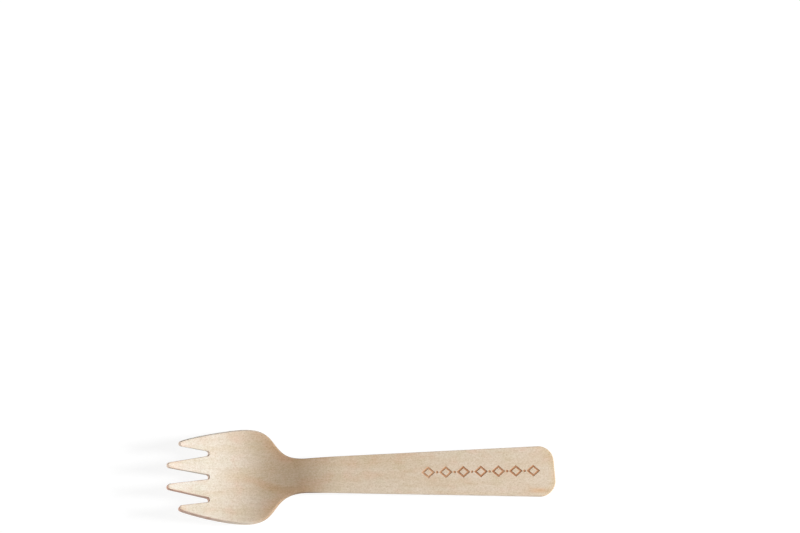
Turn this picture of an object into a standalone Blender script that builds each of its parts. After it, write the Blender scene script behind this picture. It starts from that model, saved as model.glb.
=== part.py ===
"""A small wooden spork: one piece of birch veneer, die-cut flat and then hot-pressed to shape.

The blank lies along X from the tips of the inner tines, at x = 0, to the far end of the handle.
A distance along it is called its station. The finished spork rests on z = 0, hollow side up,
on the underside of its bowl and on the far end of its handle.
"""

import math

import bmesh
import bpy
from mathutils import Vector

# The sheet of veneer. All sizes are in metres and all angles in degrees
LENGTH = 0.1000
THICKNESS = 0.0016
EDGE_ROUND = 0.0002

# The handle, straight sided and wider towards its far end, which is cut a little askew
NECK_WIDTH = 0.0088
HANDLE_END_WIDTH = 0.0133
HANDLE_CORNER_RADIUS = 0.0040
END_SLANT = 2.8

# The bowl, seen from above. A pull is how strongly the edge keeps its direction at a point
BOWL_WIDTH = 0.0243
WIDEST_STATION = 0.0200
WIDEST_TO_NECK = 0.0154
SHOULDER_PULL = 0.0094
NECK_PULL = 0.0098
BELLY_PULL = 0.0048

# The four tines and the three slots between them
INNER_TIP_OFFSET = 0.00280
INNER_TIP_RADIUS = 0.00074
OUTER_TIP_OFFSET = 0.00830
OUTER_TIP_RADIUS = 0.00066
OUTER_TIP_SETBACK = 0.0030
FLARE_ANGLE = 26.0
FLARE_PULL = 0.0019
SLOT_DEPTH = 0.01045
SLOT_ROOT_RADIUS = 0.00064
SIDE_SLOT_OFFSET = 0.00605

# The press, which leaves the handle flat and makes a shallow bowl and rising tines
BOWL_BOTTOM_STATION = 0.0220
BOWL_DEPTH = 0.0029
HEEL_LENGTH = 0.0220
TINE_RISE = 18.5
CROSS_RADIUS = 0.0400

# How finely the curved parts are cut into facets
ARC_SEGMENTS = 12
STATION_STEP = 0.00125
CROSS_STEP = 0.0020

PALE_BIRCH = (0.76, 0.63, 0.48, 1.0)

NECK_STATION = WIDEST_STATION + WIDEST_TO_NECK
PRESS_START = BOWL_BOTTOM_STATION + HEEL_LENGTH


# Small helpers for the outline


def turned(vector, angle):
    """The vector turned anticlockwise by an angle in radians."""
    return Vector(
        (
            vector.x * math.cos(angle) - vector.y * math.sin(angle),
            vector.x * math.sin(angle) + vector.y * math.cos(angle),
        )
    )


def arc_knots(centre, radius, start, end):
    """Curve points along an arc from one angle to the other, in pieces of a quarter turn or less."""
    pieces = max(1, math.ceil(abs(end - start) / (math.pi / 2) - 1e-6))
    step = (end - start) / pieces
    pull = radius * 4.0 / 3.0 * math.tan(step / 4.0)
    knots = []
    for number in range(pieces + 1):
        angle = start + step * number
        outward = Vector((math.cos(angle), math.sin(angle)))
        along = Vector((-math.sin(angle), math.cos(angle))) * pull
        point = centre + outward * radius
        before = point - along if number else point
        after = point + along if number < pieces else point
        knots.append((point, before, after))
    return knots


def crossing_normal(first, first_radius, second, second_radius, turn):
    """The direction from the first circle's centre to where a line touches it.

    The line passes between the two circles and touches the second on its opposite side.
    """
    gap = second - first
    lean = math.acos((first_radius + second_radius) / gap.length)
    return turned(gap.normalized(), turn * lean)


def angle_of(vector):
    """The vector's angle in radians, from 0 to a full turn."""
    return math.atan2(vector.y, vector.x) % math.tau


def round_corner(before, corner, after, radius):
    """Curve points that round a corner between two straight lines."""
    into = (corner - before).normalized()
    out = (after - corner).normalized()
    bend = into.angle(out)
    reach = radius * math.tan(bend / 2)
    start = corner - into * reach
    end = corner + out * reach
    pull = radius * 4.0 / 3.0 * math.tan(bend / 4)
    return [(start, start, start + into * pull), (end, end - out * pull, end)]


# The outline of the blank


def tine_knots():
    """The upper half's tines, from the root of the middle slot to the outer edge of the outer tine."""
    root_centre = SLOT_DEPTH - SLOT_ROOT_RADIUS
    middle_root = Vector((root_centre, 0.0))
    side_root = Vector((root_centre, SIDE_SLOT_OFFSET))
    inner_tip = Vector((INNER_TIP_RADIUS, INNER_TIP_OFFSET))
    outer_tip = Vector((OUTER_TIP_SETBACK + OUTER_TIP_RADIUS, OUTER_TIP_OFFSET))

    first = crossing_normal(middle_root, SLOT_ROOT_RADIUS, inner_tip, INNER_TIP_RADIUS, -1)
    second = crossing_normal(inner_tip, INNER_TIP_RADIUS, side_root, SLOT_ROOT_RADIUS, 1)
    third = crossing_normal(side_root, SLOT_ROOT_RADIUS, outer_tip, OUTER_TIP_RADIUS, -1)
    flare = math.radians(90 + FLARE_ANGLE)

    knots = arc_knots(middle_root, SLOT_ROOT_RADIUS, 0.0, angle_of(first))
    knots += arc_knots(inner_tip, INNER_TIP_RADIUS, angle_of(-first), angle_of(second))
    below = angle_of(-second) - math.tau
    knots += arc_knots(side_root, SLOT_ROOT_RADIUS, below, angle_of(third))
    knots += arc_knots(outer_tip, OUTER_TIP_RADIUS, angle_of(-third), flare)
    return knots


def bowl_knots(last_tine_knot):
    """The upper half's edge from the outer tine round the bowl to the neck."""
    point, before, _ = last_tine_knot
    flare = math.radians(FLARE_ANGLE)
    leaving = point + Vector((math.cos(flare), math.sin(flare))) * FLARE_PULL
    widest = Vector((WIDEST_STATION, BOWL_WIDTH / 2))
    neck = Vector((NECK_STATION, NECK_WIDTH / 2))
    along = Vector((1.0, 0.0))
    return [
        (point, before, leaving),
        (widest, widest - along * BELLY_PULL, widest + along * SHOULDER_PULL),
        (neck, neck - along * NECK_PULL, neck),
    ]


def handle_corner(side):
    """Where one side of the handle, 1 for the upper and -1 for the lower, meets its slanted end."""
    slant = side * math.tan(math.radians(END_SLANT))
    run = LENGTH - NECK_STATION
    spread = (HANDLE_END_WIDTH - NECK_WIDTH) / 2
    share = (run - slant * NECK_WIDTH / 2) / (run + slant * spread)
    across = NECK_WIDTH / 2 + share * spread
    return Vector((NECK_STATION + share * run, side * across))


def outline_knots():
    """The whole outline of the blank, once round."""
    tines = tine_knots()
    upper = tines[:-1] + bowl_knots(tines[-1])
    upper_neck = Vector((NECK_STATION, NECK_WIDTH / 2))
    lower_neck = Vector((NECK_STATION, -NECK_WIDTH / 2))
    upper_corner = handle_corner(1)
    lower_corner = handle_corner(-1)
    end = round_corner(upper_neck, upper_corner, lower_corner, HANDLE_CORNER_RADIUS)
    end += round_corner(upper_corner, lower_corner, lower_neck, HANDLE_CORNER_RADIUS)
    lower = []
    for knot in reversed(upper[1:]):
        point, before, after = (Vector((place.x, -place.y)) for place in knot)
        lower.append((point, after, before))
    root, _, root_after = upper[0]
    root_before = Vector((root_after.x, -root_after.y))
    return [(root, root_before, root_after)] + upper[1:] + end + lower


def outline_curve(name, knots):
    """A closed flat curve through the knots, each a point with its two handles."""
    curve = bpy.data.curves.new(name, "CURVE")
    curve.dimensions = "2D"
    curve.fill_mode = "NONE"
    spline = curve.splines.new("BEZIER")
    spline.bezier_points.add(len(knots) - 1)
    spline.use_cyclic_u = True
    spline.resolution_u = ARC_SEGMENTS
    for target, (point, before, after) in zip(spline.bezier_points, knots):
        target.handle_left_type = "FREE"
        target.handle_right_type = "FREE"
        target.co = point.to_3d()
        target.handle_left = before.to_3d()
        target.handle_right = after.to_3d()
    return bpy.data.objects.new(name, curve)


# The flat blank and its pressing


def flat_blank(outline):
    """The blank as it leaves the cutting die: an even sheet whose rims are slightly rounded."""
    evaluated = outline.evaluated_get(bpy.context.evaluated_depsgraph_get())
    edge_loop = bpy.data.meshes.new_from_object(evaluated)
    blank = bmesh.new()
    blank.from_mesh(edge_loop)
    bpy.data.meshes.remove(edge_loop)
    bmesh.ops.remove_doubles(blank, verts=blank.verts, dist=0.00001)
    bmesh.ops.translate(blank, verts=blank.verts, vec=(0, 0, -THICKNESS / 2))
    bmesh.ops.dissolve_limit(blank, verts=blank.verts, edges=blank.edges, angle_limit=0.001)
    sheet = bmesh.ops.edgeloop_fill(blank, edges=blank.edges)["faces"]
    raised = bmesh.ops.extrude_face_region(blank, geom=sheet, use_keep_orig=True)["geom"]
    corners = [item for item in raised if isinstance(item, bmesh.types.BMVert)]
    bmesh.ops.translate(blank, verts=corners, vec=(0, 0, THICKNESS))
    bmesh.ops.recalc_face_normals(blank, faces=blank.faces)
    rims = [edge for edge in blank.edges if abs(edge.verts[0].co.z - edge.verts[1].co.z) < 1e-9]
    bmesh.ops.bevel(blank, geom=rims, offset=EDGE_ROUND, segments=1, affect="EDGES")
    return blank


def cut_across(blank, faces, place, normal):
    """Cuts the faces along a plane, so that they can bend there."""
    edges = {edge for face in faces for edge in face.edges}
    corners = {corner for face in faces for corner in face.verts}
    bmesh.ops.bisect_plane(
        blank,
        geom=list(faces) + list(edges) + list(corners),
        plane_co=place,
        plane_no=normal,
        dist=0.000001,
    )


def faces_before(blank, station):
    """The faces that lie wholly between the tips and a station."""
    reach = station + 0.000002
    return [face for face in blank.faces if all(corner.co.x < reach for corner in face.verts)]


def cut_into_facets(blank):
    """Cuts the pressed end of the blank into small facets and leaves the flat handle whole."""
    cut_across(blank, blank.faces, (PRESS_START, 0, 0), (1, 0, 0))
    for number in range(1, math.ceil(PRESS_START / STATION_STEP)):
        pressed = faces_before(blank, PRESS_START)
        cut_across(blank, pressed, (PRESS_START - number * STATION_STEP, 0, 0), (1, 0, 0))
    rows = math.ceil(BOWL_WIDTH / 2 / CROSS_STEP)
    for number in range(-rows, rows + 1):
        pressed = faces_before(blank, PRESS_START)
        cut_across(blank, pressed, (0, number * CROSS_STEP, 0), (0, 1, 0))


def eased(share):
    """Rises from 0 to 1 with level ends."""
    share = min(max(share, 0.0), 1.0)
    return share * share * (3 - 2 * share)


def pressed_height(station, across):
    """The height of the sheet's middle over the handle's, at a place on the blank."""
    heel = eased((PRESS_START - station) / HEEL_LENGTH)
    height = -BOWL_DEPTH * heel
    toe = BOWL_BOTTOM_STATION - SLOT_DEPTH
    past_bottom = max(BOWL_BOTTOM_STATION - station, 0.0)
    rise = math.tan(math.radians(TINE_RISE))
    if past_bottom < toe:
        height += rise * past_bottom * past_bottom / (2 * toe)
    else:
        height += rise * (past_bottom - toe / 2)
    return height + heel * across * across / (2 * CROSS_RADIUS)


def pressed_point(point):
    """Where a point of the flat blank ends up: on the bent middle of the sheet, at its own depth."""
    probe = 0.00001
    along = pressed_height(point.x + probe, point.y) - pressed_height(point.x - probe, point.y)
    across = pressed_height(point.x, point.y + probe) - pressed_height(point.x, point.y - probe)
    normal = Vector((-along, -across, 2 * probe)).normalized()
    middle = Vector((point.x, point.y, pressed_height(point.x, point.y)))
    return middle + normal * point.z


# The finished piece


def veneer_material(name):
    """Plain, unfinished birch."""
    material = bpy.data.materials.new(name)
    material.use_nodes = True
    material.diffuse_color = PALE_BIRCH
    shader = material.node_tree.nodes["Principled BSDF"]
    shader.inputs["Base Color"].default_value = PALE_BIRCH
    shader.inputs["Roughness"].default_value = 0.5
    shader.inputs["Metallic"].default_value = 0.0
    return material


def lay_to_rest(spork):
    """Tips the spork until bowl and handle end touch the table, and centres it over the origin."""
    rake = math.atan2(BOWL_DEPTH, LENGTH - BOWL_BOTTOM_STATION)
    spork.rotation_euler.y = rake
    turn = spork.rotation_euler.to_matrix()
    corners = [turn @ corner.co for corner in spork.data.vertices]
    lowest = Vector(min(corner[axis] for corner in corners) for axis in range(3))
    highest = Vector(max(corner[axis] for corner in corners) for axis in range(3))
    middle = (lowest + highest) / 2
    spork.location = (-middle.x, -middle.y, -lowest.z)


def make_spork(collection, guides):
    """Cuts the blank from its outline, presses it and lays it down."""
    outline = outline_curve("blank_outline", outline_knots())
    guides.objects.link(outline)
    outline.hide_render = True
    outline.display_type = "WIRE"
    bpy.context.view_layer.update()
    blank = flat_blank(outline)
    cut_into_facets(blank)
    for corner in blank.verts:
        corner.co = pressed_point(corner.co)
    mesh = bpy.data.meshes.new("spork")
    blank.to_mesh(mesh)
    blank.free()
    mesh.shade_smooth()
    mesh.set_sharp_from_angle(angle=math.radians(30))
    mesh.materials.append(veneer_material("birch_veneer"))
    spork = bpy.data.objects.new("spork", mesh)
    collection.objects.link(spork)
    lay_to_rest(spork)
    return spork


def main():
    for item in list(bpy.data.objects):
        bpy.data.objects.remove(item)
    collection = bpy.data.collections.new("wooden_spork")
    guides = bpy.data.collections.new("guides")
    bpy.context.scene.collection.children.link(collection)
    bpy.context.scene.collection.children.link(guides)
    make_spork(collection, guides)


main()
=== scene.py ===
# %% [markdown]
# A wooden spork: a short fork and a shallow spoon in one piece of birch veneer.
#
# The real one is peeled from a log as a sheet about 1.6 mm thick, stamped out flat with a
# die, and pressed hot so that it keeps a bowl and rising tines. It is left bare, with no
# varnish, so all of its looks come from three things: the even thickness of a bent sheet, the
# pale fibres that run along it, and the rougher edge that the die leaves all round.
#
# We build it in the same order here: outline, sheet, burnt border, press, then the wood.

# %% Load the measured frame
import math

import bpy
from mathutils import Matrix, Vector
from mathutils.bvhtree import BVHTree


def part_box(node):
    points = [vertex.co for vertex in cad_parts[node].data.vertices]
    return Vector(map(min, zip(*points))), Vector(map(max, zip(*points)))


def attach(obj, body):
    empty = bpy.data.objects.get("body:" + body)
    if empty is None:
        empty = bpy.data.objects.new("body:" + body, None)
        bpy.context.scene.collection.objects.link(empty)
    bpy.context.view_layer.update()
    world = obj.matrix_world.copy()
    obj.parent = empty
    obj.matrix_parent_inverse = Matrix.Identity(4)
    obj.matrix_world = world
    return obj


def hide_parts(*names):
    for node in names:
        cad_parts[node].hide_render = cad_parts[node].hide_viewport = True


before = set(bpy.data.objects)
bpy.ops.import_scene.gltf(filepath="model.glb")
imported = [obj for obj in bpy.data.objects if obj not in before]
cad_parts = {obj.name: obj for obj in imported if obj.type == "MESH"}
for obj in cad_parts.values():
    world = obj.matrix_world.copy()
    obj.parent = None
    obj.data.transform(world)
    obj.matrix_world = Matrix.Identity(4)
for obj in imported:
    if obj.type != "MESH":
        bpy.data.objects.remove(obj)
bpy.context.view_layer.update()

MM = 0.001

# %% [markdown]
# ## The sizes of the flat blank
#
# A stamped piece is described best while it is still flat. Its length runs along X from the
# tips of the inner tines, and a distance along it is called a station. Everything is given
# for the flat blank, and the press comes later. That is also how the toolmaker draws it.

# %% Sizes of the blank and of the press
LENGTH = 100.0 * MM
THICKNESS = 1.6 * MM
EDGE_ROUND = 0.2 * MM

NECK_WIDTH = 8.8 * MM
HANDLE_END_WIDTH = 13.3 * MM
HANDLE_CORNER_RADIUS = 4.0 * MM
END_SLANT = math.radians(2.8)

BOWL_WIDTH = 24.3 * MM
WIDEST_STATION = 20.0 * MM
WIDEST_TO_NECK = 15.4 * MM
NECK_STATION = WIDEST_STATION + WIDEST_TO_NECK
SHOULDER_PULL = 9.4 * MM
NECK_PULL = 9.8 * MM
BELLY_PULL = 4.8 * MM

INNER_TIP_OFFSET = 2.8 * MM
INNER_TIP_RADIUS = 0.74 * MM
OUTER_TIP_OFFSET = 8.3 * MM
OUTER_TIP_RADIUS = 0.66 * MM
OUTER_TIP_SETBACK = 3.0 * MM
FLARE_ANGLE = math.radians(26)
FLARE_PULL = 1.9 * MM
SLOT_DEPTH = 10.45 * MM
SLOT_ROOT_RADIUS = 0.64 * MM
SIDE_SLOT_OFFSET = 6.05 * MM

BOWL_BOTTOM_STATION = 22.0 * MM
BOWL_DEPTH = 2.9 * MM
HEEL_LENGTH = 22.0 * MM
TINE_RISE = math.radians(18.5)
CROSS_RADIUS = 40.0 * MM
PRESS_START = BOWL_BOTTOM_STATION + HEEL_LENGTH

print("the press bends the sheet up to station", round(PRESS_START / MM, 1), "mm")

# %% [markdown]
# ## Helpers for a drawn outline
#
# The outline could be traced as a polygon, but every edge of the real blank is an arc, a
# straight line or one long easy sweep between them. So it is one closed Bezier curve, which
# stays smooth at any size. A curve point is kept as three places: the handle before it, the
# point itself and the handle after it. An arc needs handles of one exact length, and a
# straight line that touches two circles needs one exact angle.

# %% Arcs, and straight lines that touch two of them
def turned(vector, angle):
    """The flat vector turned anticlockwise."""
    cosine, sine = math.cos(angle), math.sin(angle)
    return Vector((vector.x * cosine - vector.y * sine, vector.x * sine + vector.y * cosine))


def arc_knots(centre, radius, start, end):
    """Curve points along an arc, in pieces of a quarter turn or less."""
    pieces = max(1, math.ceil(abs(end - start) / (math.pi / 2) - 1e-6))
    step = (end - start) / pieces
    pull = radius * 4 / 3 * math.tan(step / 4)
    knots = []
    for number in range(pieces + 1):
        outward = turned(Vector((1, 0)), start + step * number)
        point = centre + outward * radius
        along = turned(outward, math.pi / 2) * pull
        before = point - along if number else point
        after = point + along if number < pieces else point
        knots.append((before, point, after))
    return knots


def touching(first, first_radius, second, second_radius, side):
    """The angle at which a line from one circle to the far side of the other leaves it."""
    gap = second - first
    lean = math.acos((first_radius + second_radius) / gap.length)
    return math.atan2(gap.y, gap.x) + side * lean


half_circle = arc_knots(Vector((0, 0)), SLOT_ROOT_RADIUS, 0, math.pi)
print("curve points on half a circle:", len(half_circle))

# %% [markdown]
# ## Four tines and three slots
#
# The die cuts round tips and round slot roots, with straight flanks between them. The round
# roots matter: a sharp one would split the veneer along its fibres. So each flank is drawn as
# the line that touches one tip and one root. Only the upper half is drawn, from the root of
# the middle slot outwards, and the lower half is its mirror image.

# %% The upper half's tines
def upper_tines():
    """Curve points from the middle slot's root to the outer edge of the outer tine."""
    root = SLOT_DEPTH - SLOT_ROOT_RADIUS
    rounds = [
        (Vector((root, 0)), SLOT_ROOT_RADIUS),
        (Vector((INNER_TIP_RADIUS, INNER_TIP_OFFSET)), INNER_TIP_RADIUS),
        (Vector((root, SIDE_SLOT_OFFSET)), SLOT_ROOT_RADIUS),
        (Vector((OUTER_TIP_SETBACK + OUTER_TIP_RADIUS, OUTER_TIP_OFFSET)), OUTER_TIP_RADIUS),
    ]
    knots = []
    start = 0.0
    side = -1
    for (centre, radius), (next_centre, next_radius) in zip(rounds, rounds[1:]):
        leave = touching(centre, radius, next_centre, next_radius, side) % math.tau
        knots += arc_knots(centre, radius, start, leave)
        side = -side
        start = leave + math.pi if side > 0 else leave + math.pi - math.tau
    centre, radius = rounds[-1]
    return knots + arc_knots(centre, radius, start, math.pi / 2 + FLARE_ANGLE)


tine_knots = upper_tines()
print("curve points on the upper tines:", len(tine_knots))

# %% [markdown]
# ## The bowl, the neck and the handle's end
#
# From the outer tine the edge flares out, turns over the widest place and runs back into the
# neck in one sweep with no corner. Three curve points are enough, and the lengths of their
# handles, here called pulls, set how full the shoulders are. The handle's sides are straight
# and its end is cut a little askew with two round corners, as on the real one.

# %% The rest of the outline
def upper_bowl(last_tine_knot):
    """Curve points from the outer tine over the widest place to the neck."""
    before, point, _ = last_tine_knot
    leaving = point + turned(Vector((FLARE_PULL, 0)), FLARE_ANGLE)
    widest = Vector((WIDEST_STATION, BOWL_WIDTH / 2))
    neck = Vector((NECK_STATION, NECK_WIDTH / 2))
    return [
        (before, point, leaving),
        (widest - Vector((BELLY_PULL, 0)), widest, widest + Vector((SHOULDER_PULL, 0))),
        (neck - Vector((NECK_PULL, 0)), neck, neck),
    ]


def end_corner(side):
    """Where one long side of the handle, 1 for the upper one, meets the slanted end."""
    slant = side * math.tan(END_SLANT)
    run = LENGTH - NECK_STATION
    spread = (HANDLE_END_WIDTH - NECK_WIDTH) / 2
    share = (run - slant * NECK_WIDTH / 2) / (run + slant * spread)
    return Vector((NECK_STATION + share * run, side * (NECK_WIDTH / 2 + share * spread)))


def rounded(before, corner, after, radius):
    """Two curve points that round a corner between straight lines."""
    into = (corner - before).normalized()
    out = (after - corner).normalized()
    bend = into.angle(out)
    reach = radius * math.tan(bend / 2)
    pull = radius * 4 / 3 * math.tan(bend / 4)
    start = corner - into * reach
    end = corner + out * reach
    return [(start, start, start + into * pull), (end - out * pull, end, end)]


def mirrored(knot):
    """The curve point below that answers one above, with its handles changed over."""
    before, point, after = (Vector((place.x, -place.y)) for place in knot)
    return (after, point, before)


upper = tine_knots[:-1] + upper_bowl(tine_knots[-1])
upper_neck = upper[-1][1]
lower_neck = mirrored(upper[-1])[1]
handle_end = rounded(upper_neck, end_corner(1), end_corner(-1), HANDLE_CORNER_RADIUS)
handle_end += rounded(end_corner(1), end_corner(-1), lower_neck, HANDLE_CORNER_RADIUS)
first_knot = (mirrored(upper[0])[0], upper[0][1], upper[0][2])
outline_knots = [first_knot] + upper[1:] + handle_end
outline_knots += [mirrored(knot) for knot in reversed(upper[1:])]
print("curve points on the whole outline:", len(outline_knots))

# %% [markdown]
# ## Helpers for working as by hand
#
# Blender's own tools act on whatever is selected, so each step starts from nothing selected.
# Faces are then picked by where they are or which way they look, which in a script takes the
# place of clicking on them.

# %% Selecting in code
def nothing_selected():
    """Leaves edit mode and clears the selection."""
    if bpy.context.object and bpy.context.object.mode != "OBJECT":
        bpy.ops.object.mode_set(mode="OBJECT")
    bpy.ops.object.select_all(action="DESELECT")


def take(piece):
    """Makes one piece the selected and active one."""
    nothing_selected()
    piece.select_set(True)
    bpy.context.view_layer.objects.active = piece


def pick(piece, kind, wanted):
    """In edit mode, selects the faces or edges for which wanted is true, and counts them."""
    bpy.ops.mesh.select_mode(type=kind)
    bpy.ops.mesh.select_all(action="DESELECT")
    bpy.ops.object.mode_set(mode="OBJECT")
    mesh = piece.data
    items = mesh.polygons if kind == "FACE" else mesh.edges
    chosen = [item for item in items if wanted(mesh, item)]
    for item in chosen:
        item.select = True
    bpy.ops.object.mode_set(mode="EDIT")
    return len(chosen)


DOWNWARDS = -0.9


def looks_down(mesh, face):
    """True for a face that looks straight down, or nearly."""
    return face.normal.z < DOWNWARDS


nothing_selected()
print("pieces still selected:", len(bpy.context.selected_objects))

# %% [markdown]
# ## The outline becomes a sheet
#
# The curve is drawn with the Bezier tool, closed, and turned into a ring of edges. Filling
# the ring gives the lower face, and extruding it by the thickness gives the sheet. Solidify
# would thicken it too, but an extruded wall is there at once for the bevel to round. Each
# stretch between two curve points is drawn in 28 steps. On the tight arcs that is a point
# every few hundredths of a millimetre, so the tips stay round even in a close view.

# %% Draw the outline and extrude it
CURVE_STEPS = 28
WELD = 0.004 * MM

nothing_selected()
bpy.ops.curve.primitive_bezier_curve_add(location=(0, 0, 0))
spork = bpy.context.object
spork.name = "veneer_spork"
spork.data.dimensions = "2D"
spork.data.fill_mode = "NONE"
line = spork.data.splines[0]
line.bezier_points.add(len(outline_knots) - 2)
line.use_cyclic_u = True
line.resolution_u = CURVE_STEPS
for target, (before, point, after) in zip(line.bezier_points, outline_knots):
    target.handle_left_type = "FREE"
    target.handle_right_type = "FREE"
    target.co = point.to_3d()
    target.handle_left = before.to_3d()
    target.handle_right = after.to_3d()

take(spork)
bpy.ops.object.convert(target="MESH")
bpy.ops.object.mode_set(mode="EDIT")
bpy.ops.mesh.select_all(action="SELECT")
bpy.ops.mesh.remove_doubles(threshold=WELD)
bpy.ops.mesh.edge_face_add()
bpy.ops.mesh.extrude_region_move(TRANSFORM_OT_translate={"value": (0, 0, THICKNESS)})
bpy.ops.mesh.select_all(action="SELECT")
bpy.ops.transform.translate(value=(0, 0, -THICKNESS / 2))
bpy.ops.mesh.normals_make_consistent(inside=False)
bpy.ops.object.mode_set(mode="OBJECT")
print("sheet in mm:", [round(side / MM, 2) for side in spork.dimensions])

# %% [markdown]
# ## The rounded rims
#
# A stamped edge is never quite sharp: the die drags the top fibres down with it, and the heat
# of the press sets them. A bevel of 0.2 mm in three steps gives that small roll, which
# catches the light all round the real one.

# %% Bevel both rims
RIM_STEPS = 3


def on_a_rim(mesh, edge):
    """True for an edge that lies level, as the rims of the flat sheet do."""
    first, second = (mesh.vertices[corner].co.z for corner in edge.vertices)
    return abs(first - second) < WELD


bpy.ops.object.mode_set(mode="EDIT")
rim_edges = pick(spork, "EDGE", on_a_rim)
bpy.ops.mesh.bevel(offset=EDGE_ROUND, segments=RIM_STEPS, affect="EDGES")
bpy.ops.object.mode_set(mode="OBJECT")
print("rim edges rolled over:", rim_edges)

# %% [markdown]
# ## A burnt border of lozenges
#
# The handle carries a plain border of lozenges and dots, burnt in with a hot stamp. A bump
# texture could fake it, but a stamp chars the fibres and they sink, and a real groove with
# slanting walls shades itself from every side. So one lozenge and one dot are modelled as
# stamps that stick out downwards, copied along the row, and taken out of the sheet with a
# boolean.

# %% One lozenge stamp and one dot stamp
MARK_START = 65.3 * MM
MARK_MIDDLE = 0.1 * MM
MARK_PITCH = 4.55 * MM
LOZENGES = 7
LOZENGE_LONG = 3.6 * MM
LOZENGE_HIGH = 3.1 * MM
STROKE = 0.52 * MM
DOT_RADIUS = 0.34 * MM
DOT_SIDES = 20
GROOVE = 0.09 * MM
STAMP_ROOM = 0.3 * MM
STAMP_CREASE = 0.01 * MM


def finish_stamp():
    """Raises the flat face of a stamp and narrows its underside to slanting walls."""
    stamp = bpy.context.object
    bpy.ops.mesh.extrude_region_move(TRANSFORM_OT_translate={"value": (0, 0, STAMP_ROOM)})
    bpy.ops.mesh.select_all(action="SELECT")
    bpy.ops.mesh.normals_make_consistent(inside=False)
    pick(stamp, "FACE", looks_down)
    bpy.ops.mesh.inset(thickness=GROOVE, depth=GROOVE + STAMP_CREASE)
    bpy.ops.object.mode_set(mode="OBJECT")
    return stamp


def lozenge_stamp():
    """A lozenge drawn with a stroke: a square ring on its corner."""
    top = THICKNESS / 2 + STAMP_CREASE
    bpy.ops.mesh.primitive_circle_add(vertices=4, radius=0.5, fill_type="NGON", location=(0, 0, 0))
    stamp = bpy.context.object
    stamp.name = "lozenge_stamp"
    stamp.scale = (LOZENGE_LONG, LOZENGE_HIGH, 1)
    stamp.location = (MARK_START + LOZENGE_LONG / 2, MARK_MIDDLE, top)
    bpy.ops.object.transform_apply(location=True, rotation=True, scale=True)
    bpy.ops.object.mode_set(mode="EDIT")
    bpy.ops.mesh.select_all(action="SELECT")
    bpy.ops.mesh.inset(thickness=STROKE)
    bpy.ops.mesh.delete(type="ONLY_FACE")
    bpy.ops.mesh.select_all(action="SELECT")
    return finish_stamp()


def dot_stamp():
    """A round dot between two lozenges."""
    top = THICKNESS / 2 + STAMP_CREASE
    middle = (MARK_START + LOZENGE_LONG + (MARK_PITCH - LOZENGE_LONG) / 2, MARK_MIDDLE, top)
    bpy.ops.mesh.primitive_circle_add(
        vertices=DOT_SIDES, radius=DOT_RADIUS, fill_type="NGON", location=middle
    )
    stamp = bpy.context.object
    stamp.name = "dot_stamp"
    bpy.ops.object.transform_apply(location=True, rotation=True, scale=True)
    bpy.ops.object.mode_set(mode="EDIT")
    bpy.ops.mesh.select_all(action="SELECT")
    return finish_stamp()


nothing_selected()
lozenge = lozenge_stamp()
nothing_selected()
dot = dot_stamp()
print("faces on a lozenge:", len(lozenge.data.polygons), "and on a dot:", len(dot.data.polygons))

# %% [markdown]
# ## Stamping the row
#
# Copies made in object mode can be moved with one translate each. All of them are then joined
# into one tool, so that the sheet is cut once. The exact solver is the right one for a groove
# this thin, because the fast one can leave holes where faces nearly touch.

# %% Copy the stamps along the row and cut the grooves
def copies_along(stamp, count):
    """Copies a stamp along the row and gives the whole row back."""
    row = [stamp]
    for number in range(1, count):
        take(row[-1])
        bpy.ops.object.duplicate(linked=False)
        bpy.ops.transform.translate(value=(MARK_PITCH, 0, 0))
        row.append(bpy.context.object)
    return row


row = copies_along(lozenge, LOZENGES) + copies_along(dot, LOZENGES - 1)
nothing_selected()
for stamp in row:
    stamp.select_set(True)
bpy.context.view_layer.objects.active = row[0]
bpy.ops.object.join()
bpy.ops.object.transform_apply(location=True, rotation=True, scale=True)
border_tool = bpy.context.object

take(spork)
cut = spork.modifiers.new("border", "BOOLEAN")
cut.operation = "DIFFERENCE"
cut.solver = "EXACT"
cut.object = border_tool
bpy.ops.object.modifier_apply(modifier=cut.name)
take(border_tool)
bpy.ops.object.delete()
print("faces after the border:", len(spork.data.polygons))

# %% [markdown]
# ## Rows to bend along
#
# The sheet is still two big faces with walls between them, and a big face can't bend. A
# remesh would give small ones, but it would blur the rims and the grooves. Bisect keeps them
# sharp: it cuts the whole piece along one plane, so a loop of planes lays a grid over it,
# fine across the part that the press bends, coarse along the flat handle. The threshold is
# lowered because the usual one, a tenth of a millimetre, would count nearby corners as on
# the plane.

# %% Cut the grid
BENT_STEP = 0.5 * MM
FLAT_STEP = 2.0 * MM
ROW_STEP = 1.0 * MM
ON_PLANE = 0.0005 * MM


def cut_planes(places, normal):
    """Cuts the piece once at each of the places, square to the normal."""
    for place in places:
        bpy.ops.mesh.select_all(action="SELECT")
        bpy.ops.mesh.bisect(plane_co=place, plane_no=normal, threshold=ON_PLANE)


bent_count = round(PRESS_START / BENT_STEP)
flat_count = round((LENGTH - PRESS_START) / FLAT_STEP)
half_rows = int(BOWL_WIDTH / 2 / ROW_STEP)
bent = [number * BENT_STEP for number in range(1, bent_count + 1)]
flat = [PRESS_START + number * FLAT_STEP for number in range(1, flat_count)]
rows = [number * ROW_STEP for number in range(-half_rows, half_rows + 1)]

take(spork)
bpy.ops.object.mode_set(mode="EDIT")
bpy.ops.mesh.select_mode(type="FACE")
cut_planes([(station, 0, 0) for station in bent + flat], (1, 0, 0))
cut_planes([(0, across, 0) for across in rows], (0, 1, 0))
bpy.ops.mesh.select_all(action="SELECT")
bpy.ops.mesh.dissolve_degenerate(threshold=WELD)
bpy.ops.object.mode_set(mode="OBJECT")
print("faces after the grid:", len(spork.data.polygons))

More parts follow.
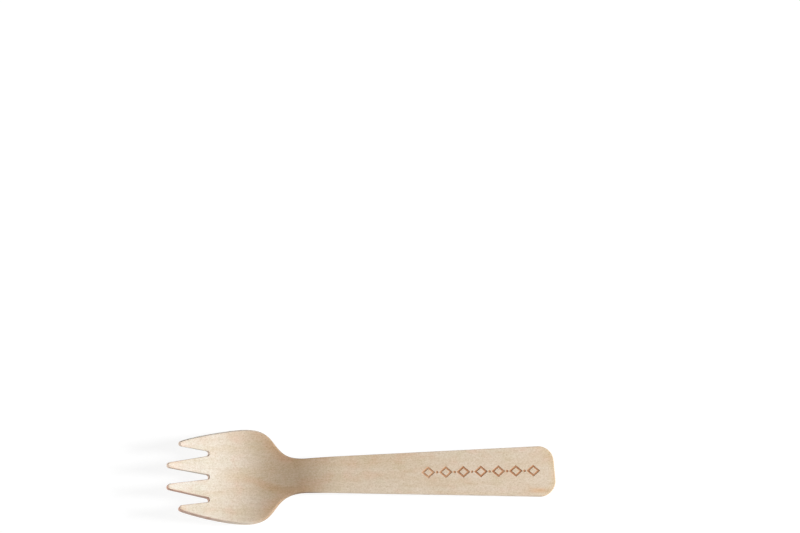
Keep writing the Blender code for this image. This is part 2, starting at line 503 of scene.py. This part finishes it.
# %% [markdown]
# ## What each face was before the press
#
# Three kinds of surface meet on the piece: the pressed faces, the edge that the die cut, and
# the burnt grooves. They are easy to tell apart now, while the sheet is flat, so each face is
# given its material slot here. Every corner also keeps two things as attributes, both in
# millimetres: its place in the flat blank, and how far it lies from the cut edge. The wood's
# patterns read those instead of the bent shape, so the fibres follow the sheet through the
# bowl, as they do in pressed veneer, and the scorch of the die can hug the outline.

# %% Sort the faces and remember the flat blank
FACE_SLOT, EDGE_SLOT, BURNT_SLOT = 0, 1, 2
MARK_END = MARK_START + LOZENGES * MARK_PITCH
BELOW_FACE = 0.005 * MM
WALL_FACING = 0.8


def slot_of(face):
    """The material slot for a face of the flat blank."""
    inside = abs(face.center.y - MARK_MIDDLE) < LOZENGE_HIGH / 2
    inside = inside and MARK_START < face.center.x < MARK_END
    sunk = THICKNESS / 2 - abs(face.center.z) > BELOW_FACE
    if inside and sunk and face.center.z > 0:
        return BURNT_SLOT
    return EDGE_SLOT if abs(face.normal.z) < WALL_FACING else FACE_SLOT


for name in ("pressed_birch_face", "stamped_birch_edge", "burnt_birch"):
    spork.data.materials.append(bpy.data.materials.new(name))
for face in spork.data.polygons:
    face.material_index = slot_of(face)
    face.use_smooth = True

flat_places = spork.data.attributes.new("blank", "FLOAT_VECTOR", "POINT")
for corner, place in zip(spork.data.vertices, flat_places.data):
    place.vector = corner.co / MM

cut_walls = [face.vertices for face in spork.data.polygons if face.material_index == EDGE_SLOT]
edge_finder = BVHTree.FromPolygons([corner.co for corner in spork.data.vertices], cut_walls)
from_edge = spork.data.attributes.new("from_edge", "FLOAT", "POINT")
for corner, distance in zip(spork.data.vertices, from_edge.data):
    distance.value = edge_finder.find_nearest(Vector((corner.co.x, corner.co.y, 0)))[3] / MM
slots = [face.material_index for face in spork.data.polygons]
counts = [slots.count(slot) for slot in (FACE_SLOT, EDGE_SLOT, BURNT_SLOT)]
print("faces, cut edge, burnt:", counts)

# %% [markdown]
# ## The press
#
# A lattice could bend the sheet roughly, but the real tool is made to numbers, so the press
# here is one rule: how high the middle of the sheet ends up over each place of the blank. It
# runs level along the handle, eases down the heel to the bottom of the bowl, curves up into
# straight rising tines, and is dished from side to side. A corner then moves to its own depth
# along the normal of that bent middle, which keeps the sheet 1.6 mm thick everywhere.

# %% Bend every corner with one rule
def eased(share):
    """Rises from 0 to 1 with level ends."""
    share = min(max(share, 0.0), 1.0)
    return share * share * (3 - 2 * share)


def pressed_height(station, across):
    """The height of the sheet's middle over the handle's."""
    heel = eased((PRESS_START - station) / HEEL_LENGTH)
    toe = BOWL_BOTTOM_STATION - SLOT_DEPTH
    past_bottom = max(BOWL_BOTTOM_STATION - station, 0.0)
    if past_bottom < toe:
        lift = past_bottom * past_bottom / (2 * toe)
    else:
        lift = past_bottom - toe / 2
    dish = across * across / (2 * CROSS_RADIUS)
    return math.tan(TINE_RISE) * lift + heel * (dish - BOWL_DEPTH)


def pressed(place):
    """Where a point of the flat blank ends up."""
    probe = 0.01 * MM
    ahead, behind = (pressed_height(place.x + step, place.y) for step in (probe, -probe))
    left, right = (pressed_height(place.x, place.y + step) for step in (probe, -probe))
    normal = Vector((behind - ahead, right - left, 2 * probe)).normalized()
    middle = Vector((place.x, place.y, pressed_height(place.x, place.y)))
    return middle + normal * place.z


for corner in spork.data.vertices:
    corner.co = pressed(corner.co)
spork.data.update()
print("bowl below the handle:", round(-pressed_height(BOWL_BOTTOM_STATION, 0) / MM, 2), "mm")

# %% [markdown]
# ## Laid down where the measured part lies
#
# On a table the spork tips until its bowl and the end of its handle both touch. It could be
# dropped there by a simulation, but the measured part already lies like that. So this one is
# turned by the same small angle, trued in size by less than a fifth of a percent, and moved,
# until the two boxes agree. Each of these is then applied, so that the object itself stands
# at the origin and its patterns can't slide.

# %% Lay the spork down
def corners_box(piece):
    """Lowest and highest corner of a mesh."""
    places = [corner.co for corner in piece.data.vertices]
    low = Vector(min(place[axis] for place in places) for axis in range(3))
    high = Vector(max(place[axis] for place in places) for axis in range(3))
    return low, high


take(spork)
spork.rotation_euler.y = math.atan2(BOWL_DEPTH, LENGTH - BOWL_BOTTOM_STATION)
bpy.ops.object.transform_apply(location=False, rotation=True, scale=False)
part_low, part_high = (Vector(corner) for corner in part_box("spork"))
low, high = corners_box(spork)
spork.scale = [
    (part_high[axis] - part_low[axis]) / (high[axis] - low[axis]) for axis in range(3)
]
print("size against the measured part:", [round(share, 5) for share in spork.scale])
bpy.ops.object.transform_apply(location=False, rotation=False, scale=True)
low, high = corners_box(spork)
spork.location = (part_low + part_high - low - high) / 2
bpy.ops.object.transform_apply(location=True, rotation=False, scale=False)

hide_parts("spork")
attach(spork, "root")

# %% [markdown]
# ## Clean shading
#
# Smooth shading alone would smear the wide faces into the narrow rims. Edges sharper than 40
# degrees are kept sharp, which are those of the grooves, and the Weighted Normal modifier
# lets the wide faces decide, so that only the rolled rim turns the light.

# %% Smooth by angle, then weigh the normals
SHARP_FROM = math.radians(40)

take(spork)
bpy.ops.object.shade_smooth_by_angle(angle=SHARP_FROM)
weigh = spork.modifiers.new("weigh", "WEIGHTED_NORMAL")
weigh.mode = "FACE_AREA_WITH_ANGLE"
weigh.keep_sharp = True
bpy.ops.object.modifier_apply(modifier=weigh.name)
nothing_selected()
spork.data.calc_loop_triangles()
print("triangles:", len(spork.data.loop_triangles))

# %% [markdown]
# ## Building materials
#
# Colours are picked as screen colours, in hex, but the shader works in linear light, so one
# function translates. Another adds a node, sets it up and plugs it in, which keeps each
# material below readable from top to bottom.

# %% Colours and nodes
def linear(hex_colour):
    """A screen colour such as E2D0B9 as linear red, green, blue and alpha."""
    light = []
    for place in (0, 2, 4):
        share = int(hex_colour[place:place + 2], 16) / 255
        light.append(share / 12.92 if share <= 0.04045 else ((share + 0.055) / 1.055) ** 2.4)
    return (*light, 1.0)


def add(owner, kind, sockets=(), **settings):
    """Adds a node to a material or the world, and gives each socket a value or a link."""
    tree = owner.node_tree
    node = tree.nodes.new(kind)
    for name, value in settings.items():
        setattr(node, name, value)
    for socket, value in dict(sockets).items():
        if isinstance(value, bpy.types.NodeSocket):
            tree.links.new(value, node.inputs[socket])
        else:
            node.inputs[socket].default_value = value
    return node


def fresh(name):
    """A material by its name, with nodes, and the shader that it starts with."""
    material = bpy.data.materials[name]
    material.use_nodes = True
    return material, material.node_tree.nodes["Principled BSDF"]


print("pale birch in linear light:", [round(part, 3) for part in linear("E0D2C2")[:3]])

# %% [markdown]
# ## Marks in the wood
#
# Every mark in wood only takes light away: a pore, a darker fibre, a cloud of resin. So the
# colour starts from the palest wood, and each layer of marks multiplies it, as a glaze does.
# Marks are soft noise, drawn out along the fibres by the Mapping node, whose scale is one over
# the length and width of a mark in millimetres. The fourth dimension of the noise, W, keeps
# the layers apart.

# %% A glaze of marks
def marked(material, place, colour, size, limits, share, glaze, seed):
    """The colour with marks of a size glazed over it, and how strong they are where."""
    drawn_out = add(
        material,
        "ShaderNodeMapping",
        {"Vector": place, "Scale": (1 / size[0], 1 / size[1], 1 / size[1])},
    )
    noise = add(
        material,
        "ShaderNodeTexNoise",
        {"Vector": drawn_out.outputs["Vector"], "W": seed, "Scale": 1.0, "Detail": 2.0},
        noise_dimensions="4D",
    )
    strength = add(
        material,
        "ShaderNodeMapRange",
        {
            "Value": noise.outputs["Fac"],
            "From Min": limits[0],
            "From Max": limits[1],
            "To Max": share,
        },
        interpolation_type="SMOOTHSTEP",
    )
    over = add(
        material,
        "ShaderNodeMix",
        {0: strength.outputs["Result"], 6: colour, 7: linear(glaze)},
        data_type="RGBA",
        blend_type="MULTIPLY",
    )
    return over.outputs[2], strength.outputs["Result"]


print("a mark 4 mm long is scaled by", 1 / 4, "along the fibres")

# %% [markdown]
# ## Blushes
#
# Where the die or the press was hot, bare wood changes colour over a few millimetres. Such a
# blush is the same glaze, led by distances instead of noise. Each distance has a middle where
# the glaze is full, and further off it fades out. A blush that lies along the neck and also
# hugs the edge has two distances, and their strengths are multiplied.

# %% A glaze that fades with distance
def blushed(material, colour, zones, share, glaze):
    """The colour under a glaze. A zone is a distance, its middle, where it ends and is full."""
    strength = share
    for distance, middle, ends, full in zones:
        gap = add(material, "ShaderNodeMath", {0: distance, 1: middle}, operation="SUBTRACT")
        away = add(material, "ShaderNodeMath", {0: gap.outputs[0]}, operation="ABSOLUTE")
        near = add(
            material,
            "ShaderNodeMapRange",
            {"Value": away.outputs[0], "From Min": ends, "From Max": full},
            interpolation_type="SMOOTHSTEP",
        )
        met = add(
            material,
            "ShaderNodeMath",
            {0: strength, 1: near.outputs["Result"]},
            operation="MULTIPLY",
        )
        strength = met.outputs[0]
    over = add(
        material,
        "ShaderNodeMix",
        {0: strength, 6: colour, 7: linear(glaze)},
        data_type="RGBA",
        blend_type="MULTIPLY",
    )
    return over.outputs[2]


print("a glaze of FFE2C6 lets through:", [round(part, 2) for part in linear("FFE2C6")[:3]])

# %% [markdown]
# ## The tone along the sheet, with painted shade and light
#
# The colour ramp along the sheet is partly the wood's own tone and partly painted shade and
# painted light. It is browner at the heel of the bowl, which is painted shade of the slope that
# turns from the lamp. It is palest at the tips of the tines, which is painted light on the slope
# that faces the lamp. It could be painted on the corners, but a colour ramp along the length of
# the blank keeps each tone as one number that is easy to change. The stops are given in
# millimetres from the tips.

# %% Tones of the pressed sheet, with painted shade and light
# The darker stops round the heel are painted shade, and the pale stop at the tips is painted
# light, over the wood's own tone.
TONES_WITH_PAINTED_SHADE = [
    (0, "EBE7E0"),
    (8, "DED8CE"),
    (18, "E5D9CB"),
    (27, "D3C0AA"),
    (34, "C6B29B"),
    (39, "D6C5B0"),
    (44, "DACBB8"),
    (100, "E0D2C2"),
]


def birch_tone_and_painted_shade(material, station):
    """The wood's tone at a station of the blank, with painted shade at the heel and painted light
    at the tines, before any marks.
    """
    share = add(material, "ShaderNodeMath", {0: station, 1: MM / LENGTH}, operation="MULTIPLY")
    ramp = add(material, "ShaderNodeValToRGB", {"Fac": share.outputs[0]})
    stops = ramp.color_ramp.elements
    stops[0].position, stops[1].position = 0.0, 1.0
    stops[0].color, stops[1].color = linear(TONES_WITH_PAINTED_SHADE[0][1]), linear(TONES_WITH_PAINTED_SHADE[-1][1])
    for station_mm, tone in TONES_WITH_PAINTED_SHADE[1:-1]:
        stops.new(station_mm * MM / LENGTH).color = linear(tone)
    return ramp.outputs["Color"]


print("tones along the sheet:", len(TONES_WITH_PAINTED_SHADE))

# %% [markdown]
# ## Clouds, speckle and pores
#
# Birch is an even wood with fine pores, and peeling gives it soft clouds and flames in place of
# rings. Some clouds are a little pinker and some a little greener. To the eye the whole face
# is finely speckled. Real pores are 0.1 mm wide, too fine to show, so the speckle is drawn 0.3
# to 0.5 mm wide and the pores 0.2 mm.

# %% The figure of birch face veneer
CLOUD = (22.0, 3.0)
PORE = (1.6, 0.22)


def birch_figure(material, place, colour):
    """Seven layers of marks from the widest to the finest, and where speckle and fibres are."""
    colour, _ = marked(material, place, colour, CLOUD, (0.35, 0.70), 0.50, "F3E8D6", 1.0)
    colour, _ = marked(material, place, colour, (4.5, 3.0), (0.45, 0.75), 0.60, "FFF0EC", 2.0)
    colour, _ = marked(material, place, colour, (5.0, 3.5), (0.45, 0.75), 0.50, "F5F6EB", 3.0)
    colour, speckle = marked(
        material, place, colour, (0.45, 0.32), (0.30, 0.70), 0.60, "E6E0D2", 4.0
    )
    colour, _ = marked(material, place, colour, (0.32, 0.28), (0.45, 0.80), 0.70, "E0D2C2", 5.0)
    colour, fibres = marked(
        material, place, colour, (5.0, 0.35), (0.50, 0.80), 0.35, "E8DCC8", 6.0
    )
    colour, _ = marked(material, place, colour, PORE, (0.66, 0.80), 0.40, "C4AC90", 7.0)
    return colour, speckle, fibres


print("a cloud is", round(CLOUD[1] / PORE[1]), "times as wide as a pore")

# %% [markdown]
# ## Where the face blushes
#
# The flanks of the neck are orange where the die rubbed them, and so are the very tips of the
# tines. A faint brown vein runs from the middle slot over the bowl to the lower side of the
# neck. The handle's end is a touch more yellow at its rim, with one orange fleck near a corner.
# All of them are one-off marks of this piece, so each is placed by its station.

# %% The blushes of the face
VEIN_FROM, VEIN_TO = 17.0, 33.0
VEIN_DROP = 4.2


def birch_blushes(material, colour, station, across, edge):
    """The neck's flanks, the vein, the tines' tips, the handle's rim and one fleck."""
    flanks = [(station, 31.0, 12.0, 3.0), (edge, 0.0, 3.6, 0.3)]
    colour = blushed(material, colour, flanks, 0.38, "FFE2C6")

    course = add(
        material,
        "ShaderNodeMapRange",
        {"Value": station, "From Min": VEIN_FROM, "From Max": VEIN_TO, "To Max": -VEIN_DROP},
        interpolation_type="SMOOTHSTEP",
    )
    drift = add(
        material,
        "ShaderNodeMath",
        {0: across, 1: course.outputs["Result"]},
        operation="SUBTRACT",
    )
    vein = [(drift.outputs[0], 0.0, 2.1, 0.2), (station, 22.0, 12.0, 5.0)]
    colour = blushed(material, colour, vein, 0.45, "F3E4CA")

    tips = [(station, 0.0, 11.0, 1.0), (edge, 0.0, 0.6, 0.1)]
    colour = blushed(material, colour, tips, 0.25, "FFDCC4")
    rim = [(station, 100.0, 7.0, 1.5), (edge, 0.0, 2.0, 0.2)]
    colour = blushed(material, colour, rim, 0.35, "FFEFCB")
    fleck = [(station, 95.5, 3.2, 0.5), (across, -5.0, 1.0, 0.1)]
    return blushed(material, colour, fleck, 0.6, "FFE0C6")


print("the vein drops", VEIN_DROP, "mm over", VEIN_TO - VEIN_FROM, "mm of the bowl")

# %% [markdown]
# ## The pressed face
#
# This is birch face veneer, peeled, pressed hot between plates, and left bare. To the eye it is
# matt, with a faint sheen only where you look along it. Wood has an index of refraction of
# about 1.5, but its fibres scatter much of what a smooth surface would mirror. So the
# specular level is halved and the roughness is high, and higher still along the fibres that
# stand up. The bump is three hundredths of a millimetre, just enough to break the light.

# %% Pressed birch face
WOOD_IOR = 1.5
WOOD_SPECULAR = 0.25


def pressed_birch_face():
    """Bare birch veneer, pressed smooth: index of refraction 1.5, matt."""
    material, shader = fresh("pressed_birch_face")
    place = add(material, "ShaderNodeAttribute", attribute_name="blank").outputs["Vector"]
    edge = add(material, "ShaderNodeAttribute", attribute_name="from_edge").outputs["Fac"]
    parts = add(material, "ShaderNodeSeparateXYZ", {"Vector": place})
    station, across = parts.outputs["X"], parts.outputs["Y"]

    colour = birch_tone_and_painted_shade(material, station)
    colour, speckle, fibres = birch_figure(material, place, colour)
    colour = birch_blushes(material, colour, station, across, edge)
    roughness = add(
        material,
        "ShaderNodeMapRange",
        {"Value": fibres, "From Max": 0.35, "To Min": 0.66, "To Max": 0.78},
    )
    fuzz = add(material, "ShaderNodeMath", {0: speckle, 1: fibres}, operation="ADD")
    bump = add(
        material,
        "ShaderNodeBump",
        {"Height": fuzz.outputs[0], "Strength": 0.4, "Distance": 0.03 * MM},
    )

    links = material.node_tree.links
    links.new(colour, shader.inputs["Base Color"])
    links.new(roughness.outputs["Result"], shader.inputs["Roughness"])
    links.new(bump.outputs["Normal"], shader.inputs["Normal"])
    shader.inputs["IOR"].default_value = WOOD_IOR
    shader.inputs["Specular IOR Level"].default_value = WOOD_SPECULAR
    return len(material.node_tree.nodes)


print("nodes in the pressed face:", pressed_birch_face())

# %% [markdown]
# ## The stamped edge
#
# The die shears the sheet across its fibres, so the edge is rougher than the face and shows the
# peel in fine lines along it. Round the tines the die is hottest, and the edge is scorched to a
# reddish brown in the roots of the slots and at the very tips. On the lower tines the reddish
# brown is stronger. There it is also painted shade of the side turned from the light. At the neck
# the edge is painted greyer, as painted shade on the walls that face the lamp. At the handle's end
# the fibres are cut square across, and such end grain takes in more light, so it is a shade
# deeper. That darkening is also partly painted shade on an end that faces the lamp. Elsewhere the
# edge stays nearly as pale as the face.

# %% Stamped birch edge
def stamped_birch_edge():
    """Sheared birch: dull, with the lines of the peel."""
    material, shader = fresh("stamped_birch_edge")
    place = add(material, "ShaderNodeAttribute", attribute_name="blank").outputs["Vector"]
    parts = add(material, "ShaderNodeSeparateXYZ", {"Vector": place})
    station, across = parts.outputs["X"], parts.outputs["Y"]

    colour = birch_tone_and_painted_shade(material, station)
    colour, peel = marked(material, place, colour, (5.0, 0.3), (0.35, 0.70), 0.60, "F0E6D6", 8.0)
    colour, _ = marked(material, place, colour, (0.9, 0.9), (0.40, 0.75), 0.60, "EEE0CE", 9.0)
    # Painted shade: the edge at the neck is greyed where its walls face the lamp.
    colour = blushed(material, colour, [(station, 31.0, 10.0, 5.0)], 1.0, "C6BBB0")
    # Partly end grain and partly painted shade: the handle's end is darkened where it faces the
    # lamp.
    colour = blushed(material, colour, [(station, 100.0, 10.0, 2.0)], 0.9, "DBCFBC")
    # Scorch and painted shade: the lower tines' edge, on the side turned from the light, is glazed
    # reddish brown.
    lower_tines_shade_and_scorch = [(station, 0.0, 19.0, 8.0), (across, -10.0, 11.0, 8.0)]
    colour = blushed(material, colour, lower_tines_shade_and_scorch, 0.6, "E0B4A8")
    colour = blushed(material, colour, [(station, 10.3, 1.0, 0.3)], 0.3, "DCB0A4")
    colour = blushed(material, colour, [(station, 1.0, 4.5, 1.5)], 0.5, "ECC4B0")
    bump = add(
        material,
        "ShaderNodeBump",
        {"Height": peel, "Strength": 0.6, "Distance": 0.05 * MM},
    )

    material.node_tree.links.new(colour, shader.inputs["Base Color"])
    material.node_tree.links.new(bump.outputs["Normal"], shader.inputs["Normal"])
    shader.inputs["Roughness"].default_value = 0.7
    shader.inputs["IOR"].default_value = WOOD_IOR
    shader.inputs["Specular IOR Level"].default_value = WOOD_SPECULAR
    return len(material.node_tree.nodes)


print("nodes in the cut edge:", stamped_birch_edge())

# %% [markdown]
# ## The burnt grooves
#
# A hot stamp chars the fibres to a warm brown without ash, so the grooves keep the wood's own
# grain and turn fully dull. The stamp sat a little lighter on its left end, and its marks are
# paler there. The brown is lighter than it seems, because the walls of a groove shade it.

# %% Burnt birch
def burnt_birch():
    """Wood browned by a hot stamp: dull, darker along some fibres."""
    material, shader = fresh("burnt_birch")
    place = add(material, "ShaderNodeAttribute", attribute_name="blank").outputs["Vector"]
    station = add(material, "ShaderNodeSeparateXYZ", {"Vector": place}).outputs["X"]
    pressure = add(
        material,
        "ShaderNodeMapRange",
        {"Value": station, "From Min": 64.0, "From Max": 78.0},
        interpolation_type="SMOOTHSTEP",
    )
    brown = add(
        material,
        "ShaderNodeMix",
        {0: pressure.outputs["Result"], 6: linear("C9A382"), 7: linear("B68A68")},
        data_type="RGBA",
    )
    colour, char = marked(
        material, place, brown.outputs[2], (0.9, 0.35), (0.35, 0.75), 0.7, "D8B494", 10.0
    )
    bump = add(
        material,
        "ShaderNodeBump",
        {"Height": char, "Strength": 0.5, "Distance": 0.05 * MM},
    )

    material.node_tree.links.new(colour, shader.inputs["Base Color"])
    material.node_tree.links.new(bump.outputs["Normal"], shader.inputs["Normal"])
    shader.inputs["Roughness"].default_value = 0.85
    shader.inputs["IOR"].default_value = WOOD_IOR
    shader.inputs["Specular IOR Level"].default_value = WOOD_SPECULAR
    return len(material.node_tree.nodes)


print("nodes in the burnt border:", burnt_birch())

# %% [markdown]
# ## A white table
#
# Catalogue photographs stand small things on a lit white table that goes out to pure white.
# More light would burn the wood out as well, so the floor does it by itself: what the camera
# sees of it is mostly a plain white glow, with enough real white left to show the shadow. The
# same goes for rays that arrive by way of a shiny or a clear surface. All other light meets a
# plain white floor, which lights the spork from below. Far from the spork there is no shadow
# to show, so the glow is whole there and the table meets its white surroundings with no line.

# %% Floor
FLOOR_SIZE = 4.0
SEEN = ("Is Camera Ray", "Is Glossy Ray", "Is Transmission Ray")
GLOW_SHARE = 0.8
GLOW = 1.1
SHADOW_REACH = 0.15
WHITE_FROM = 0.45

nothing_selected()
bpy.ops.mesh.primitive_plane_add(size=FLOOR_SIZE, location=(0, 0, 0))
floor = bpy.context.object
floor.name = "studio_floor"
floor.data.materials.append(bpy.data.materials.new("white_paper"))


def seen_directly(owner):
    """One for rays from the camera, a mirror or a glass, and zero for all other light."""
    path = add(owner, "ShaderNodeLightPath")
    total = path.outputs[SEEN[0]]
    for name in SEEN[1:]:
        total = add(
            owner, "ShaderNodeMath", {0: total, 1: path.outputs[name]}, operation="MAXIMUM"
        ).outputs[0]
    return total


def white_paper():
    """Dull white paper that glows a little to whoever looks at it."""
    material, shader = fresh("white_paper")
    shader.inputs["Base Color"].default_value = linear("F0F0F0")
    shader.inputs["Roughness"].default_value = 1.0
    shader.inputs["Specular IOR Level"].default_value = 0.0
    glow = add(material, "ShaderNodeEmission", {"Color": (1, 1, 1, 1), "Strength": GLOW})
    place = add(material, "ShaderNodeTexCoord").outputs["Object"]
    away = add(material, "ShaderNodeVectorMath", {0: place}, operation="LENGTH")
    full = add(
        material,
        "ShaderNodeMapRange",
        {
            "Value": away.outputs["Value"],
            "From Min": SHADOW_REACH,
            "From Max": WHITE_FROM,
            "To Min": GLOW_SHARE,
        },
        interpolation_type="SMOOTHSTEP",
    )
    share = add(
        material,
        "ShaderNodeMath",
        {0: seen_directly(material), 1: full.outputs["Result"]},
        operation="MULTIPLY",
    )
    blend = add(
        material,
        "ShaderNodeMixShader",
        {0: share.outputs[0], 1: shader.outputs["BSDF"], 2: glow.outputs["Emission"]},
    )
    output = material.node_tree.nodes["Material Output"]
    material.node_tree.links.new(blend.outputs["Shader"], output.inputs["Surface"])


white_paper()
print("near the spork the glow is", GLOW_SHARE, "of what the camera sees")

# %% [markdown]
# ## Light from the right
#
# The photograph is lit from beyond the end of the handle, low enough that the heel of the bowl
# turns into its own shade and the tines face the light. One broad lamp does that. A small
# one, nearer, weaker and more to the front, keeps the front edges from going dark. Opposite
# them a low card throws light back onto the tips and into the slots, as a photographer's
# white card does. The world adds a faint even fill, and looks white wherever the camera or a
# reflection meets it.

# %% Lamps and world
def lamp(name, azimuth, elevation, distance, width, height, power):
    """A flat lamp that looks at the spork from an azimuth and an elevation."""
    turn, rise = math.radians(azimuth), math.radians(elevation)
    reach = math.cos(rise)
    away = Vector((math.cos(turn) * reach, math.sin(turn) * reach, math.sin(rise)))
    data = bpy.data.lights.new(name, "AREA")
    data.shape = "RECTANGLE"
    data.size = width
    data.size_y = height
    data.energy = power
    holder = bpy.data.objects.new(name, data)
    holder.location = away * distance
    holder.rotation_euler = away.to_track_quat("Z", "Y").to_euler()
    bpy.context.scene.collection.objects.link(holder)


lamp("window_lamp", 0, 24, 1.2, 0.27, 0.27, 23.5)
lamp("near_lamp", -50, 24, 0.4, 0.11, 0.11, 0.5)
lamp("white_card", 180, 10, 0.6, 0.45, 0.2, 2.6)

FILL = 0.05
world = bpy.data.worlds.new("studio")
bpy.context.scene.world = world
world.use_nodes = True
background = world.node_tree.nodes["Background"]
background.inputs["Color"].default_value = (1, 1, 1, 1)
level = add(
    world,
    "ShaderNodeMapRange",
    {"Value": seen_directly(world), "To Min": FILL, "To Max": 1.0},
)
world.node_tree.links.new(level.outputs["Result"], background.inputs["Strength"])

bpy.context.scene.view_settings.view_transform = "Standard"
print("fill from all round:", FILL)

# %% [markdown]
# ## The camera
#
# The place and turn were worked out from the spork's outline in the photograph: the camera
# looks down from half a metre, about 14 degrees from straight above, along a lens of 89 mm
# on a 36 mm sensor. The slight roll is why the handle rises a little to the right.

# %% Camera
CAMERA_PLACE = (-0.00036, -0.07488, 0.51377)
CAMERA_TURN = [math.radians(angle) for angle in (14.301, -0.935, -1.384)]
LENS = 89.465

nothing_selected()
bpy.ops.object.camera_add(location=CAMERA_PLACE, rotation=CAMERA_TURN)
camera = bpy.context.object
camera.name = "camera"
camera.data.sensor_width = 36.0
camera.data.lens = LENS
camera.data.clip_start = 0.01
bpy.context.scene.camera = camera
print("camera above the table:", round(camera.location.z, 3), "m")
